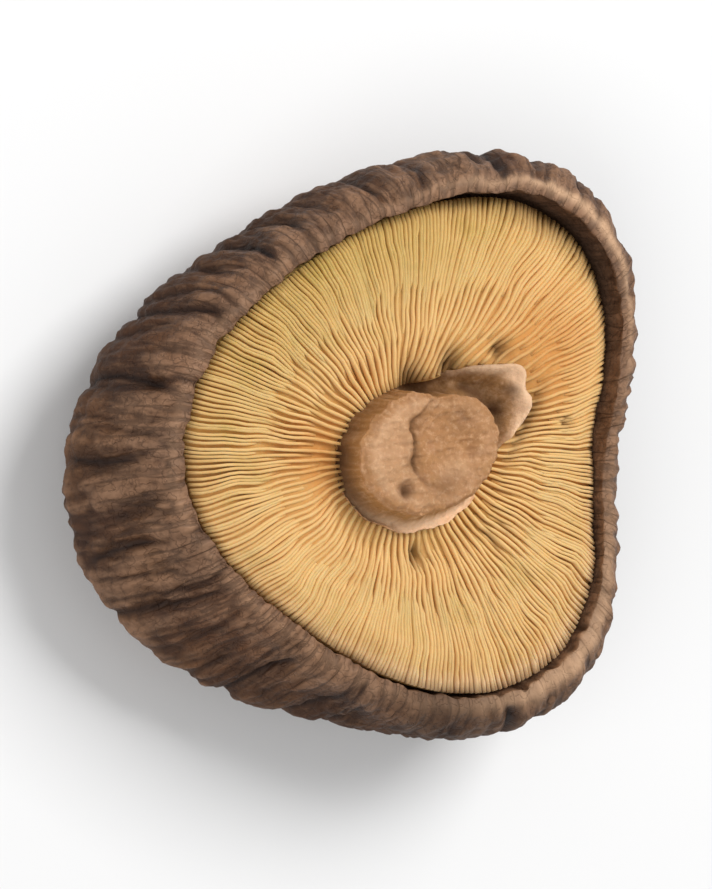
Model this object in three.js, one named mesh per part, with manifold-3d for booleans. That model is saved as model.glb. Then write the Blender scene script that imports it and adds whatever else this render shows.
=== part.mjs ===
// A dried shiitake mushroom that lies on the dome of its cap, with its gills up.
// Millimetres, +Z up, origin on the surface it lies on, under the middle of its box.

import * as THREE from 'three';
import { mergeVertices } from 'three/addons/utils/BufferGeometryUtils.js';
import Module from 'manifold-3d';

const wasm = await Module();
wasm.setup();

const TURN = 2 * Math.PI;
const DEGREE = Math.PI / 180;

// Driving dimensions of the cap. Radii are means, which the outlines below bend.
const CAP = {
  girthRadius: 21.9, // where the cap is widest
  girthHeight: 7,
  restRadius: 6.5, // the flat spot that the dome lies on
  crestRadius: 18.2, // top of the rolled rim
  crestHeight: 13.5,
  lipRadius: 17.7, // where the rim turns down to the gills
  lipHeight: 12.6,
  floorHeight: 10, // flesh under the gills
  girthShift: new THREE.Vector2(-1.6, -0.7), // the girth's centre from the gills' centre
  segments: 120,
};

// The gills' outline, which is also the outline of the rim: a blunt D, flat towards +X.
const GILL_RADIUS = 17.3;
const GILL_LOBES = [
  { count: 2, swell: 0.013, phase: 117 * DEGREE },
  { count: 3, swell: 0.104, phase: 174 * DEGREE },
  { count: 4, swell: 0.019, phase: 156 * DEGREE },
  { count: 5, swell: 0.013, phase: 172 * DEGREE },
];
const GIRTH_FOLLOWS = 0.6; // share of those lobes that the girth has
const GIRTH_LENGTHENS = 0.075; // and how much longer it is one way than across
const GIRTH_TURN = 15 * DEGREE; // that way, from +X

// Height of the rim's crest above its mean, as it runs round.
const RIM_WAVES = [
  { count: 1, height: 0.55, phase: 30 * DEGREE },
  { count: 3, height: 0.25, phase: 200 * DEGREE },
  { count: 5, height: 0.18, phase: 75 * DEGREE },
];

// Where the rim stands off from the gills.
const GAPE = { reach: 0.9, turn: 52 * DEGREE, spread: 26 * DEGREE };

// The dried skin: a net of creases over the dome, a furrow along the rim and pleats across it.
const NET = { pitch: 3.9, cells: 32, jitter: 1.1, halfWidth: 0.7, depth: 0.8 };
const FURROW = { along: 19.6, halfWidth: 1.0, depth: 0.9, sway: 1.1 };
const PLEATS = { count: 36, from: 20.5, to: 33, halfWidth: 0.85, depth: 0.62 };
const DENTS = { depth: 0.35, count: 3 };
const SHALLOWEST = 0.06; // share of a full crease below which the skin stays smooth
const SKIN_SEED = 2711;

// Gills: thin blades on a ring of flesh, each tier shorter than the one before.
const GILLS = {
  bladeThickness: 0.6,
  longBlades: 28,
  ringBottom: 10.3,
  ringTop: 11.5,
  rootHeight: 10.9,
  stemGap: 0.35,
  edgeGap: 0.05,
  inset: 0.013, // share of the ring that a blade leaves bare at each end
  wave: 0.22,
  steps: 4,
  unevenness: 0.14,
  taper: 0.3, // run over which a short blade rises to its full height
  stubHeight: 12.1, // height of its first end
};
const TIERS = [
  { every: 4, offset: 0, start: 0 },
  { every: 4, offset: 2, start: 0.27 },
  { every: 2, offset: 1, start: 0.52 },
];
// Height of the gills' edges from the stem to the rim.
const GILL_CROWN = [
  { along: 0, height: 13.3 },
  { along: 0.35, height: 13.7 },
  { along: 0.75, height: 13.5 },
  { along: 1, height: 12.6 },
];
const GILL_SEED = 85;

// The stub of the stem: an oval cut off short, with a torn collar on one side.
const STEM = {
  centre: new THREE.Vector2(-1.15, -0.25),
  length: 6.1,
  width: 4.75,
  turn: 20 * DEGREE,
  bottom: 10.3,
  top: 16.2,
  collarReach: 4.3,
  collarTurn: 30 * DEGREE,
  collarSpread: 25 * DEGREE,
  collarBottom: 14.0,
  collarTop: 15.3,
  fibreDepth: 0.13,
  cutSlope: 0.07,
  segments: 48,
};

const CAP_BROWN = new THREE.Color(0.16, 0.09, 0.065);
const GILL_GOLD = new THREE.Color(0.62, 0.37, 0.15);
const STEM_TAN = new THREE.Color(0.47, 0.25, 0.13);

// Random numbers from 0 to 1, the same in every build.
function seededRandom(seed) {
  let state = seed;
  return () => {
    state = (Math.imul(state, 1664525) + 1013904223) >>> 0;
    return state / 2 ** 32;
  };
}

function smooth(from, to, value) {
  const t = Math.min(1, Math.max(0, (value - from) / (to - from)));
  return t * t * (3 - 2 * t);
}

// 1 at the centre of a bell, and near 0 past twice its half width.
function bell(distance, halfWidth) {
  return Math.exp(-((distance / halfWidth) ** 2));
}

// The smallest turn between two directions.
function turnBetween(a, b) {
  const turn = (((a - b) % TURN) + TURN) % TURN;
  return Math.min(turn, TURN - turn);
}

function lobes(angle) {
  return GILL_LOBES.reduce(
    (sum, lobe) => sum + lobe.swell * Math.cos(lobe.count * angle - lobe.phase),
    0,
  );
}

function gillRadius(angle) {
  return GILL_RADIUS * (1 + lobes(angle));
}

function girthStretch(angle) {
  return 1 + GIRTH_FOLLOWS * lobes(angle) + GIRTH_LENGTHENS * Math.cos(2 * (angle - GIRTH_TURN));
}

function rimWave(angle) {
  return RIM_WAVES.reduce(
    (sum, wave) => sum + wave.height * Math.cos(wave.count * angle - wave.phase),
    0,
  );
}

// The stem's outline, from its own centre, at the foot or above the torn collar.
function stemRadius(angle, collar) {
  const { length, width, turn, collarReach, collarTurn, collarSpread } = STEM;
  const around = angle - turn;
  const oval = (length * width)
    / Math.hypot(width * Math.cos(around), length * Math.sin(around));
  return oval + collar * collarReach * bell(turnBetween(angle, collarTurn), collarSpread);
}

function gape(angle) {
  return GAPE.reach * bell(turnBetween(angle, GAPE.turn), GAPE.spread);
}

// A closed mesh with its shared vertices merged and its empty triangles dropped.
function closed(geometry) {
  geometry.deleteAttribute('normal');
  geometry.deleteAttribute('uv');
  const merged = mergeVertices(geometry);
  const corners = merged.index.array;
  const kept = [];
  for (let i = 0; i < corners.length; i += 3) {
    const [a, b, c] = corners.slice(i, i + 3);
    if (a !== b && b !== c && c !== a) {
      kept.push(a, b, c);
    }
  }
  merged.setIndex(kept);
  return merged;
}

// A lathed solid whose every vertex goes where place(point, angle, index) says.
function bentLathe(profile, segments, place) {
  const geometry = new THREE.LatheGeometry(profile, segments);
  const position = geometry.attributes.position;
  for (let i = 0; i < position.count; i += 1) {
    const column = Math.floor(i / profile.length) % segments;
    const row = i % profile.length;
    const spot = place(profile[row], (column / segments) * TURN - TURN / 4, row);
    position.setXYZ(i, spot.x, spot.y, spot.z);
  }
  return closed(geometry);
}

function solid(geometry) {
  const { position } = geometry.attributes;
  return new wasm.Manifold(new wasm.Mesh({
    numProp: 3,
    vertProperties: new Float32Array(position.array),
    triVerts: new Uint32Array(geometry.index.array),
  }));
}

function fromSolid(body) {
  const mesh = body.getMesh();
  const geometry = new THREE.BufferGeometry();
  geometry.setAttribute('position', new THREE.BufferAttribute(mesh.vertProperties, 3));
  geometry.setIndex(new THREE.BufferAttribute(mesh.triVerts, 1));
  return geometry;
}

function polar(radius, angle, height = 0) {
  return new THREE.Vector3(radius * Math.cos(angle), radius * Math.sin(angle), height);
}

// The cap's profile from the flat spot, up the dome and over the rim, to the recess.
function capProfile() {
  const rest = new THREE.Vector2(CAP.restRadius, 0);
  const girth = new THREE.Vector2(CAP.girthRadius, CAP.girthHeight);
  const crest = new THREE.Vector2(CAP.crestRadius, CAP.crestHeight);
  const lip = new THREE.Vector2(CAP.lipRadius, CAP.lipHeight);
  const floorEdge = new THREE.Vector2(CAP.lipRadius, CAP.floorHeight);
  const dome = new THREE.CubicBezierCurve(
    rest,
    new THREE.Vector2(CAP.restRadius * 2, 0.2),
    new THREE.Vector2(CAP.girthRadius - 0.7, CAP.girthHeight * 0.28),
    girth,
  );
  const wall = new THREE.CubicBezierCurve(
    girth,
    new THREE.Vector2(CAP.girthRadius + 0.4, CAP.girthHeight + 2.9),
    new THREE.Vector2(CAP.crestRadius + 1.2, CAP.crestHeight),
    crest,
  );
  const roll = new THREE.CubicBezierCurve(
    crest,
    new THREE.Vector2(CAP.crestRadius - 1, CAP.crestHeight),
    new THREE.Vector2(CAP.lipRadius, CAP.lipHeight + 0.7),
    lip,
  );
  const spot = new THREE.LineCurve(new THREE.Vector2(0, 0), rest);
  return [
    ...spot.getSpacedPoints(4),
    ...dome.getSpacedPoints(14).slice(1),
    ...wall.getSpacedPoints(6).slice(1),
    ...roll.getSpacedPoints(3).slice(1),
    floorEdge,
    new THREE.Vector2(0, CAP.floorHeight),
  ];
}

// Distance along the profile, from the axis over the dome, to each of its points.
function runAlong(profile) {
  let run = 0;
  return profile.map((point, i) => {
    run += i > 0 ? point.distanceTo(profile[i - 1]) : 0;
    return run;
  });
}

// Outward direction of the profile at each of its points, in radius and height.
function outwardAlong(profile) {
  return profile.map((point, i) => {
    const before = profile[Math.max(0, i - 1)];
    const after = profile[Math.min(profile.length - 1, i + 1)];
    const along = after.clone().sub(before).normalize();
    return new THREE.Vector2(along.y, -along.x);
  });
}

// Cells of the net, laid out as seeds in a sunflower and nudged, on the flattened skin.
function netCells(random) {
  const goldenTurn = TURN * (2 - (1 + Math.sqrt(5)) / 2);
  return Array.from({ length: NET.cells }, (_, i) => {
    const nudge = i > 0 ? NET.jitter : 0;
    const cell = polar(NET.pitch * Math.sqrt(i), i * goldenTurn);
    cell.x += (2 * random() - 1) * nudge;
    cell.y += (2 * random() - 1) * nudge;
    return cell;
  });
}

function pleatList(random) {
  return Array.from({ length: PLEATS.count }, (_, i) => ({
    angle: ((i + 0.7 * (random() - 0.5)) / PLEATS.count) * TURN,
    from: PLEATS.from + 2.5 * random(),
    to: PLEATS.to - 2.5 * random(),
    depth: PLEATS.depth * (0.45 + 0.75 * random()),
  }));
}

const skinRandom = seededRandom(SKIN_SEED);
const CELLS = netCells(skinRandom);
const PLEAT_LIST = pleatList(skinRandom);

// 1 on the border between the two nearest cells, 0 inside a cell.
function netCrease(x, y) {
  let nearest = Infinity;
  let next = Infinity;
  for (const cell of CELLS) {
    const distance = Math.hypot(x - cell.x, y - cell.y);
    next = Math.min(next, Math.max(nearest, distance));
    nearest = Math.min(nearest, distance);
  }
  const crease = bell((next - nearest) / 2, NET.halfWidth);
  return Math.max(0, crease - SHALLOWEST) / (1 - SHALLOWEST);
}

// How far the skin sinks below the smooth cap, at a run along the profile and an angle.
function skinDepth(run, angle) {
  const furrowRun = FURROW.along + FURROW.sway * Math.sin(2 * angle + 1);
  const onDome = 1 - smooth(furrowRun - 1.5, furrowRun + 1, run);
  const net = onDome * NET.depth * netCrease(run * Math.cos(angle), run * Math.sin(angle));
  const furrow = FURROW.depth * bell(run - furrowRun, FURROW.halfWidth)
    * (0.55 + 0.45 * Math.sin(3 * angle));
  const pleats = PLEAT_LIST.reduce((deepest, pleat) => {
    const aside = turnBetween(angle, pleat.angle) * CAP.girthRadius;
    const within = smooth(pleat.from, pleat.from + 2, run)
      * (1 - smooth(pleat.to - 2.5, pleat.to, run));
    return Math.max(deepest, pleat.depth * within * bell(aside, PLEATS.halfWidth));
  }, 0);
  const dents = smooth(CAP.restRadius, CAP.restRadius + 5, run)
    * (1 - smooth(PLEATS.to - 6, PLEATS.to - 2, run))
    * DENTS.depth * (1 + Math.cos(DENTS.count * angle + run / 5));
  return Math.max(net, furrow, pleats) + dents;
}

function capGeometry() {
  const profile = capProfile();
  const run = runAlong(profile);
  const outward = outwardAlong(profile);
  const firstInside = profile.length - 2;
  return bentLathe(profile, CAP.segments, (point, angle, row) => {
    const inside = row >= firstInside;
    const risen = inside ? 1 : smooth(CAP.girthHeight - 3, CAP.crestHeight - 1, point.y);
    const sunk = inside ? 0 : skinDepth(run[row], angle);
    const rimStretch = gillRadius(angle) / GILL_RADIUS;
    const stretch = girthStretch(angle) * (1 - risen) + rimStretch * risen;
    const stoodOff = gape(angle) * risen * (point.x / CAP.crestRadius);
    const radius = (point.x - outward[row].x * sunk) * stretch + stoodOff;
    const lifted = inside ? 0 : risen * rimWave(angle);
    const height = Math.max(0, point.y - outward[row].y * sunk + lifted);
    const spot = polar(radius, angle, height);
    spot.x += CAP.girthShift.x * (1 - risen);
    spot.y += CAP.girthShift.y * (1 - risen);
    return spot;
  });
}

function gillCrown(along) {
  const above = GILL_CROWN.findIndex((stop) => stop.along >= along);
  const next = GILL_CROWN[Math.max(1, above)];
  const last = GILL_CROWN[Math.max(1, above) - 1];
  const share = smooth(last.along, next.along, along);
  return last.height + (next.height - last.height) * share;
}

// From the stem (0) to the rim (1) along one direction, in plan.
function gillSpot(angle, along) {
  const foot = polar(stemRadius(angle, 1) + GILLS.stemGap, angle);
  foot.x += STEM.centre.x;
  foot.y += STEM.centre.y;
  return foot.lerp(polar(gillRadius(angle) - GILLS.edgeGap, angle), along);
}

function gillRing() {
  const profile = [
    new THREE.Vector2(0, GILLS.ringBottom),
    new THREE.Vector2(1, GILLS.ringBottom),
    new THREE.Vector2(1, GILLS.ringTop - 0.4),
    new THREE.Vector2(0.96, GILLS.ringTop),
    new THREE.Vector2(0, GILLS.ringTop),
    new THREE.Vector2(0, GILLS.ringBottom),
  ];
  return bentLathe(profile, CAP.segments, (point, angle) => {
    const spot = gillSpot(angle, point.x);
    spot.z = point.y;
    return spot;
  });
}

// One blade, bent from a box: x runs from its start to the rim, y across and z up.
function gillBlade(angle, start, lift) {
  const geometry = new THREE.BoxGeometry(1, 1, 1, GILLS.steps, 1, 1);
  const position = geometry.attributes.position;
  const across = polar(1, angle + TURN / 4);
  for (let i = 0; i < position.count; i += 1) {
    const along = start + (position.getX(i) + 0.5) * (1 - GILLS.inset - start);
    const sway = GILLS.wave * Math.sin(TURN * along + 2.2 * Math.sin(2 * angle));
    const aside = position.getY(i) * GILLS.bladeThickness + sway;
    const spot = gillSpot(angle, along).addScaledVector(across, aside);
    const grown = start > GILLS.inset ? smooth(start, start + GILLS.taper, along) : 1;
    const full = gillCrown(along) + lift;
    const edge = GILLS.stubHeight + (full - GILLS.stubHeight) * grown;
    spot.z = position.getZ(i) > 0 ? edge : GILLS.rootHeight;
    position.setXYZ(i, spot.x, spot.y, spot.z);
  }
  return closed(geometry);
}

function gillGeometry() {
  const random = seededRandom(GILL_SEED);
  const places = GILLS.longBlades * 4;
  let body = solid(gillRing());
  for (let i = 0; i < places; i += 1) {
    const tier = TIERS.find(({ every, offset }) => i % every === offset);
    const angle = ((i + 0.25 * (random() - 0.5)) / places) * TURN;
    const start = GILLS.inset + tier.start * (1 + 0.3 * (random() - 0.5));
    const lift = GILLS.unevenness * (random() - 0.5);
    body = body.add(solid(gillBlade(angle, start, lift)));
  }
  return fromSolid(body);
}

// The stub's profile: its radius as a share of its outline, and its height.
function stemProfile() {
  const { bottom, top, collarBottom, collarTop } = STEM;
  return [
    new THREE.Vector2(0, bottom),
    new THREE.Vector2(1, bottom),
    new THREE.Vector2(1, (bottom + collarBottom) / 2),
    new THREE.Vector2(1, collarBottom),
    new THREE.Vector2(0.96, (collarBottom + collarTop) / 2),
    new THREE.Vector2(0.93, collarTop),
    new THREE.Vector2(0.93, top - 0.4),
    new THREE.Vector2(0.86, top),
    new THREE.Vector2(0.7, top - 0.12),
    new THREE.Vector2(0.45, top - 0.4),
    new THREE.Vector2(0, top - 0.45),
  ];
}

function stemGeometry() {
  return bentLathe(stemProfile(), STEM.segments, (point, angle) => {
    const collar = 1 - smooth(STEM.collarBottom, STEM.collarTop, point.y);
    const clear = smooth(STEM.collarBottom - 0.5, STEM.collarBottom + 0.6, point.y);
    const fibre = clear * STEM.fibreDepth
      * (Math.cos(5 * angle + 1) + Math.cos(9 * angle) + 0.7 * Math.cos(14 * angle + 2));
    const spot = polar(point.x * (stemRadius(angle, collar) - fibre), angle, point.y);
    spot.z += spot.x * STEM.cutSlope * smooth(STEM.collarTop, STEM.top, point.y);
    spot.x += STEM.centre.x;
    spot.y += STEM.centre.y;
    return spot;
  });
}

function piece(name, geometry, color, roughness) {
  const material = new THREE.MeshStandardMaterial({ color, roughness, metalness: 0 });
  const mesh = new THREE.Mesh(geometry, material);
  mesh.name = name;
  return mesh;
}

const mushroom = new THREE.Group();
mushroom.add(piece('cap', capGeometry(), CAP_BROWN, 0.75));
mushroom.add(piece('gills', gillGeometry(), GILL_GOLD, 0.85));
mushroom.add(piece('stem', stemGeometry(), STEM_TAN, 0.85));

// The origin goes under the middle of the whole piece.
const middle = new THREE.Box3().setFromObject(mushroom).getCenter(new THREE.Vector3());
mushroom.position.set(-middle.x, -middle.y, 0);

export default mushroom;
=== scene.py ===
"""A dried shiitake mushroom that lies on the dome of its cap, gills up, in a plain studio.

Sizes are in millimetres, as in the part, and every mesh is written in metres.
"""

from __future__ import annotations

import logging
import math
from dataclasses import dataclass, field
from enum import Enum
from functools import cached_property
from typing import Sequence

import bmesh
import bpy
import numpy as np
from mathutils import Matrix, Vector, kdtree


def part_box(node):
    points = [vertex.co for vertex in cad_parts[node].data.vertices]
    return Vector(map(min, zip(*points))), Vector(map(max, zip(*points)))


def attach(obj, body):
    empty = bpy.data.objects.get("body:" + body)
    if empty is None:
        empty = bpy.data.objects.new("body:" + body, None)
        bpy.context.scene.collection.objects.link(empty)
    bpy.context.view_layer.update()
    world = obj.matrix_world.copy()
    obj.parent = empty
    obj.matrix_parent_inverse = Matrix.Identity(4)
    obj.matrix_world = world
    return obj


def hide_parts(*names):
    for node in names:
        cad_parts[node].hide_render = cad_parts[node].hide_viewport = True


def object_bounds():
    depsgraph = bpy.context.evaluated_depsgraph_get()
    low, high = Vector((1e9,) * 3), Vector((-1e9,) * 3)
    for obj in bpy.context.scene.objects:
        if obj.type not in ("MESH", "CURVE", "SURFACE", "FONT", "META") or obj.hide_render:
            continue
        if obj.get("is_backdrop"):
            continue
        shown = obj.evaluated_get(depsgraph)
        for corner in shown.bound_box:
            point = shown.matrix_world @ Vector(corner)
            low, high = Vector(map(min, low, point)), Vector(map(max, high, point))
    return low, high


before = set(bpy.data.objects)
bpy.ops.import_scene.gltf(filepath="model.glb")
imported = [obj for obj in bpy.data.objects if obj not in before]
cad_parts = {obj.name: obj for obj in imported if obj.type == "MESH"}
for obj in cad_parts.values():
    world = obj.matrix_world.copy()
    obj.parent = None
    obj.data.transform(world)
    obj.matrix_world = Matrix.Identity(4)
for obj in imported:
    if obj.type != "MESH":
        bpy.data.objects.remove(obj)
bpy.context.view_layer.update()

MM = 0.001
TURN = 2.0 * math.pi
GOLDEN_TURN = TURN * (2 - (1 + math.sqrt(5)) / 2)
LOG = logging.getLogger("mushroom")

Array = np.ndarray
Colour = tuple[float, float, float, float]
Triple = tuple[float, float, float]


class Slot(Enum):
    """Material slots of the record."""

    CAP = "cap_skin"
    GILLS = "gill_flesh"
    STEM = "stem_flesh"


class Mark(Enum):
    """Names of the numbers that the vertices carry for their materials."""

    RUN = "run"
    # HOLLOW carries painted shade, and the stub's painted shadow; on the stub's cut end, its stains
    # too
    HOLLOW = "hollow"
    RIM = "rim"
    # LIP carries the cap's painted highlight along the rim's crest, and the gills' paler ends
    LIP = "lip"
    EDGE = "edge"
    TINT = "tint"
    WARM = "warm"
    CUT = "cut"


WEAVE = "weave"


def smooth(start: float, end: float, value: Array) -> Array:
    """Rise from 0 at start to 1 at end without corners."""
    share = np.clip((value - start) / (end - start), 0.0, 1.0)
    return share * share * (3.0 - 2.0 * share)


def bell(distance: Array, half_width: float) -> Array:
    """Give 1 at distance 0, falling to near 0 past twice the half width."""
    return np.exp(-((distance / half_width) ** 2))


def turn_between(one: Array, other: float | Array) -> Array:
    """Give the smallest turn between directions, in radians."""
    turn = np.mod(one - other, TURN)
    return np.minimum(turn, TURN - turn)


def turned(radius: float | Array, angle: Array, height: float | Array = 0.0) -> Array:
    """Give rows of places round the Z axis.

    Args:
        radius: Their distance from the axis.
        angle: Their directions.
        height: Their height.

    Returns:
        Rows of x, y and z.
    """
    return np.column_stack(
        np.broadcast_arrays(radius * np.cos(angle), radius * np.sin(angle), height)
    )


def polar(points: Array) -> tuple[Array, Array]:
    """Give each point's distance from the Z axis and its direction."""
    return np.hypot(points[:, 0], points[:, 1]), np.arctan2(points[:, 1], points[:, 0])


def run_along(points: Array) -> Array:
    """Give the distance along points to each of them."""
    steps = np.linalg.norm(np.diff(points, axis=0), axis=1)
    return np.concatenate([[0.0], np.cumsum(steps)])


def read_at(run: Array, runs: Array, rows: Array) -> Array:
    """Give rows of two numbers at any run, from the rows at known runs."""
    return np.column_stack([np.interp(run, runs, rows[:, i]) for i in range(2)])


def resample(points: Array, count: int) -> Array:
    """Walk along points and return count of them at even distances, without the first."""
    runs = run_along(points)
    return read_at(np.linspace(0.0, runs[-1], count + 1)[1:], runs, points)


def cubic(corners: Sequence[tuple[float, float]], count: int) -> Array:
    """Sample a cubic curve at even distances.

    Args:
        corners: Its start, its two handles and its end, as radius and height.
        count: How many points to return after the start.

    Returns:
        An array of count rows of radius and height.
    """
    share = np.linspace(0.0, 1.0, 400)[:, None]
    start, leave, arrive, end = (np.array(corner) for corner in corners)
    fine = (
        start * (1 - share) ** 3
        + leave * 3 * share * (1 - share) ** 2
        + arrive * 3 * share**2 * (1 - share)
        + end * share**3
    )
    return resample(fine, count)


class Draws:
    """Random numbers from 0 to 1 in the same order as the part draws them."""

    def __init__(self, seed: int) -> None:
        """Start the row of numbers at a seed."""
        self.state = seed

    def next(self) -> float:
        """Draw one number."""
        self.state = (self.state * 1664525 + 1013904223) % 2**32
        return self.state / 2**32


@dataclass(frozen=True)
class Ripple:
    """A smooth random field: its height, its rough wavelength and its seed."""

    height: float
    wavelength: float
    seed: int
    waves: int = 28

    def at(self, points: Array) -> Array:
        """Give the field's value at each row of points, from waves that cross in every direction.

        Args:
            points: Rows of places, in millimetres.

        Returns:
            One value for each row.
        """
        draw = np.random.default_rng(self.seed)
        way = draw.normal(size=(self.waves, 3))
        way /= np.linalg.norm(way, axis=1)[:, None]
        pull = way * TURN / (self.wavelength * draw.uniform(0.7, 1.4, (self.waves, 1)))
        phase = draw.uniform(0.0, TURN, self.waves)
        return self.height / math.sqrt(self.waves) * np.cos(points @ pull.T + phase).sum(axis=1)


def rippled(ripples: Sequence[Ripple], points: Array) -> Array:
    """Add up random fields at each row of points."""
    return sum(ripple.at(points) for ripple in ripples)


@dataclass(frozen=True)
class Wave:
    """One wave of an outline that runs round the mushroom."""

    count: int
    size: float
    phase_deg: float

    def at(self, angle: Array) -> Array:
        """Give the wave's height at each angle."""
        return self.size * np.cos(self.count * angle - math.radians(self.phase_deg))


@dataclass(frozen=True)
class Sector:
    """A stretch of the way round the mushroom: its middle and its half width, in degrees."""

    middle: float
    half_width: float

    def at(self, angle: Array) -> Array:
        """Give 1 at its middle, falling to 0 on both sides."""
        aside = turn_between(angle, math.radians(self.middle))
        return bell(aside, math.radians(self.half_width))


@dataclass(frozen=True)
class Crease:
    """The section of a crease: a wide hollow with a narrow one in its middle."""

    wide: float
    narrow: float
    wide_share: float

    def at(self, aside: Array) -> Array:
        """Give 1 in its middle, falling to 0 on both sides."""
        hollow, slit = bell(aside, self.wide), bell(aside, self.narrow)
        return self.wide_share * hollow + (1 - self.wide_share) * slit


@dataclass(frozen=True)
class Pit:
    """A hole, a hollow or a stain, which may be long one way, and how deep or strong it is."""

    x: float
    y: float
    radius: float
    depth: float
    length: float = 1.0
    way_deg: float | None = None

    def at(self, places: Array) -> Array:
        """Give 1 in its middle, falling to 0, long the way it is set or out from the centre.

        Args:
            places: Rows that start with x and y.

        Returns:
            One value for each row.
        """
        way = math.atan2(self.y, self.x) if self.way_deg is None else math.radians(self.way_deg)
        x, y = places[:, 0] - self.x, places[:, 1] - self.y
        along = x * math.cos(way) + y * math.sin(way)
        across = y * math.cos(way) - x * math.sin(way)
        return bell(np.hypot(along / self.length, across), self.radius)


class Net:
    """Creases along the borders between cells that are scattered over a flattened skin."""

    def __init__(self, cells: Array) -> None:
        """Keep the cells in a tree that finds the two nearest of them.

        Args:
            cells: Rows of x and y, one for each cell's middle.
        """
        self.count = len(cells)
        self.tree = kdtree.KDTree(self.count)
        for i, (x, y) in enumerate(cells):
            self.tree.insert((x, y, 0.0), i)
        self.tree.balance()

    def gap(self, points: Array) -> tuple[Array, Array]:
        """Give the distance from each point to the nearest border, and the number of its cell.

        Args:
            points: Rows of x and y.

        Returns:
            The distances and the numbers.
        """
        gaps, cells = np.empty(len(points)), np.empty(len(points), dtype=int)
        for i, (x, y) in enumerate(points):
            (_, cells[i], near), (_, _, far) = self.tree.find_n((x, y, 0.0), 2)
            gaps[i] = (far - near) / 2
        return gaps, cells


@dataclass(frozen=True)
class Outlines:
    """The outlines that the cap, the gills and the stem share, from the gills' centre."""

    gill_radius: float = 17.3
    lobes: tuple[Wave, ...] = (
        Wave(2, 0.013, 117),
        Wave(3, 0.104, 174),
        Wave(4, 0.019, 156),
        Wave(5, 0.013, 172),
    )
    edge_gap: float = 0.05
    stem_centre: tuple[float, float] = (-1.15, -0.25)
    stem_length: float = 6.1
    stem_width: float = 4.75
    stem_turn: float = math.radians(20)
    collar: Sector = Sector(30, 25)
    collar_reach: float = 4.1
    crown: tuple[tuple[float, float], ...] = ((0, 13.3), (0.35, 13.7), (0.75, 13.5), (1, 12.6))
    gape: Sector = Sector(52, 26)
    gape_fill: float = 0.75
    roll: Sector = Sector(-55, 30)
    roll_lift: float = 0.35

    def swell(self, angle: Array) -> Array:
        """Give how far the gills' outline departs from a circle, as a share."""
        return sum(lobe.at(angle) for lobe in self.lobes)

    def gills(self, angle: Array) -> Array:
        """Give the radius of the gills' outline."""
        return self.gill_radius * (1.0 + self.swell(angle))

    def stem(self, angle: Array, collar: float) -> Array:
        """Give the stem's radius from its own centre, with a share of its collar.

        Args:
            angle: The directions round the mushroom, in radians.
            collar: How much of the collar to add, from 0 to 1.

        Returns:
            One radius for each direction.
        """
        around = angle - self.stem_turn
        across = np.hypot(self.stem_width * np.cos(around), self.stem_length * np.sin(around))
        oval = self.stem_length * self.stem_width / across
        return oval + collar * self.collar_reach * self.collar.at(angle)

    def crown_height(self, angle: Array, along: Array) -> Array:
        """Give the height of the gills' edges from the stem (0) to the rim (1).

        Args:
            angle: The directions round the mushroom, in radians.
            along: The shares of the way from the stem (0) to the rim (1).

        Returns:
            One height for each point.
        """
        height = np.full_like(along, self.crown[0][1])
        for (start, low), (end, high) in zip(self.crown, self.crown[1:]):
            height += (high - low) * smooth(start, end, along)
        return height + self.roll_lift * self.roll.at(angle) * smooth(0.7, 1.0, along)

    def between(self, angle: Array, along: Array, gap: float) -> Array:
        """Give points from a gap off the stem (0) to the rim (1), as rows of x and y.

        Args:
            angle: The directions round the mushroom, in radians.
            along: The shares of the way from the stem (0) to the rim (1).
            gap: How far off the stem the points start.

        Returns:
            Rows of x and y from the gills' centre.
        """
        foot = turned(self.stem(angle, 1.0) + gap, angle)[:, :2] + self.stem_centre
        edge = self.gills(angle) - self.edge_gap + self.gape_fill * self.gape.at(angle)
        return foot + (turned(edge, angle)[:, :2] - foot) * along[:, None]

    @cached_property
    def centre(self) -> Array:
        """Find the gills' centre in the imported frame, from the box of the gills' solid.

        Returns:
            Its x and y, in millimetres.
        """
        angle = np.linspace(0.0, TURN, 121)
        x, y, _ = turned(self.gills(angle) - self.edge_gap, angle).T
        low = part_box("gills")[0]
        return np.array([low.x / MM - x.min(), low.y / MM - y.min()])


class Wire:
    """A socket's value in a material. Plain arithmetic on it adds Math nodes."""

    def __init__(self, graph: Graph, socket: bpy.types.NodeSocket) -> None:
        """Wrap an output socket of a graph."""
        self.graph = graph
        self.socket = socket

    def _math(self, operation: str, first: Value, second: Value) -> Wire:
        """Add a Math node on two values."""
        return self.graph.node("ShaderNodeMath", {"operation": operation}, {0: first, 1: second})

    def __add__(self, other: Value) -> Wire:
        """Add a value."""
        return self._math("ADD", self, other)

    def __radd__(self, other: float) -> Wire:
        """Add this to a number."""
        return self._math("ADD", other, self)

    def __sub__(self, other: Value) -> Wire:
        """Take a value away."""
        return self._math("SUBTRACT", self, other)

    def __rsub__(self, other: float) -> Wire:
        """Take this away from a number."""
        return self._math("SUBTRACT", other, self)

    def __mul__(self, other: Value) -> Wire:
        """Multiply by a value."""
        return self._math("MULTIPLY", self, other)

    def __rmul__(self, other: float) -> Wire:
        """Multiply a number by this."""
        return self._math("MULTIPLY", other, self)

    def __abs__(self) -> Wire:
        """Drop the sign."""
        return self._math("ABSOLUTE", self, 0.0)

    def held(self) -> Wire:
        """Hold the value between 0 and 1."""
        return self.graph.node("ShaderNodeClamp", {}, {0: self})

    def above(self, level: float, gain: float) -> Wire:
        """Give how far the value is above a level, times a gain, held between 0 and 1."""
        return ((self - level) * gain).held()

    def below(self, level: float, gain: float) -> Wire:
        """Give how far the value is below a level, times a gain, held between 0 and 1."""
        return ((level - self) * gain).held()


Value = Wire | float


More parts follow.
